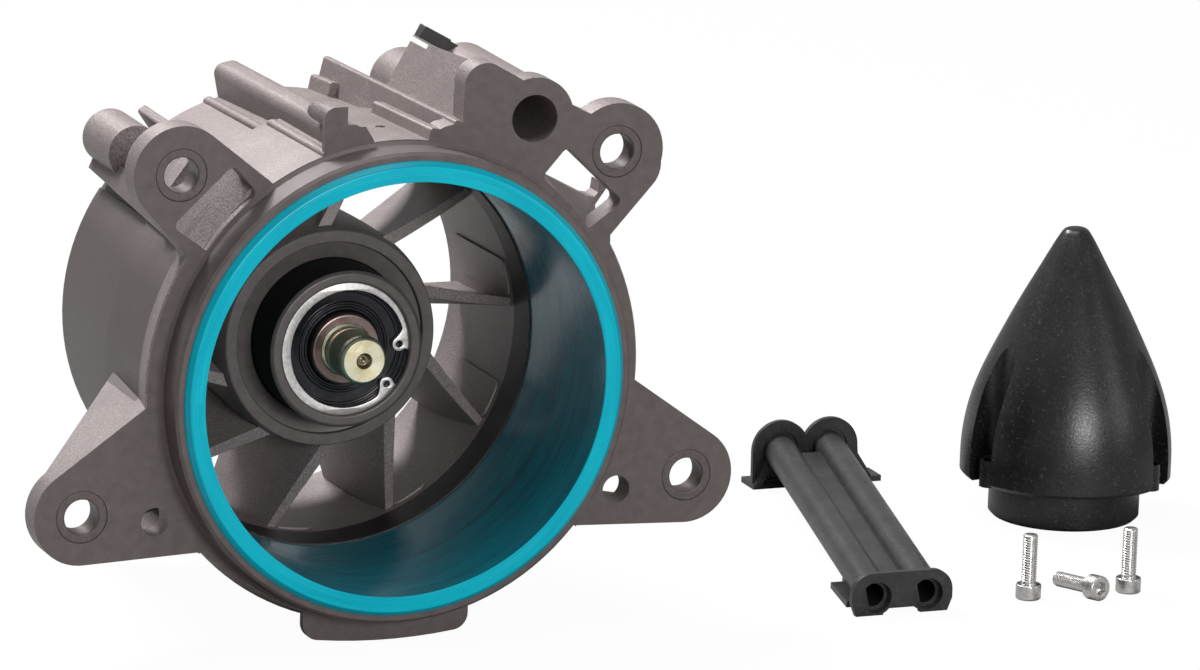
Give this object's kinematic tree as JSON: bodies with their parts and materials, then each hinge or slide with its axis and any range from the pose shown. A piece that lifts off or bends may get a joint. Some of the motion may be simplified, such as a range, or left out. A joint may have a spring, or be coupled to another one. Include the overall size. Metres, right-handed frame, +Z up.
{
  "type": "jet pump",
  "caption": "Axial jet pump casing with a teal wear ring, stator vanes and a bearing hub; its tail cone, twin-tube adapter and screws lie beside it.",
  "frame": {"origin": "on the shaft axis, in the face of the flange", "axes": "+Y along the shaft from the intake to the outlet, +Z up, +X to the right seen from the intake"},
  "size_m": [0.5177, 0.207, 0.2238],
  "materials": {
    "housing": "satin taupe coating on cast aluminium",
    "wear_ring": "machined teal plastic",
    "black_plastic": "grained",
    "rubber": "smooth",
    "bright_steel": "bright",
    "zinc_steel": "yellow zinc",
    "sleeve_steel": "ground, tinted",
    "bushes": "coated with the casting",
    "cage": "satin"
  },
  "bodies": {
    "casing": {"pump_housing": "housing", "stator_vanes": "housing", "stator_hub": "housing", "wear_ring": "wear_ring", "flange_bushes": "bushes", "tower_cap": "black_plastic", "retaining_ring": "bright_steel", "lip_seal": "rubber", "seal_garter_spring": "bright_steel", "front_bearing_outer_ring": "bright_steel", "rear_bearing_outer_ring": "bright_steel", "cone_seal_ring": "rubber", "tail_cone": "black_plastic", "cone_screws": "bright_steel", "tube_adapter": "black_plastic"},
    "rotor": {"impeller_shaft": "zinc_steel", "seal_sleeve": "sleeve_steel", "front_bearing_inner_ring": "bright_steel", "rear_bearing_inner_ring": "bright_steel", "bearing_spacer": "bright_steel"},
    "front_ball_train": {"front_balls": "bright_steel", "front_cage": "cage"},
    "rear_ball_train": {"rear_balls": "bright_steel", "rear_cage": "cage"}
  },
  "joints": [
    {"name": "shaft_spin", "type": "hinge", "parent": "casing", "child": "rotor", "pos_m": [0, 0.0685, 0], "axis": [0, 1, 0], "continuous": true},
    {"name": "front_train_orbit", "type": "hinge", "parent": "casing", "child": "front_ball_train", "pos_m": [0, 0.0685, 0], "axis": [0, 1, 0], "continuous": true},
    {"name": "rear_train_orbit", "type": "hinge", "parent": "casing", "child": "rear_ball_train", "pos_m": [0, 0.1115, 0], "axis": [0, 1, 0], "continuous": true}
  ],
  "couplings": [
    {"joint": "front_train_orbit", "follows": "shaft_spin", "ratio": 0.397},
    {"joint": "rear_train_orbit", "follows": "shaft_spin", "ratio": 0.397}
  ]
}
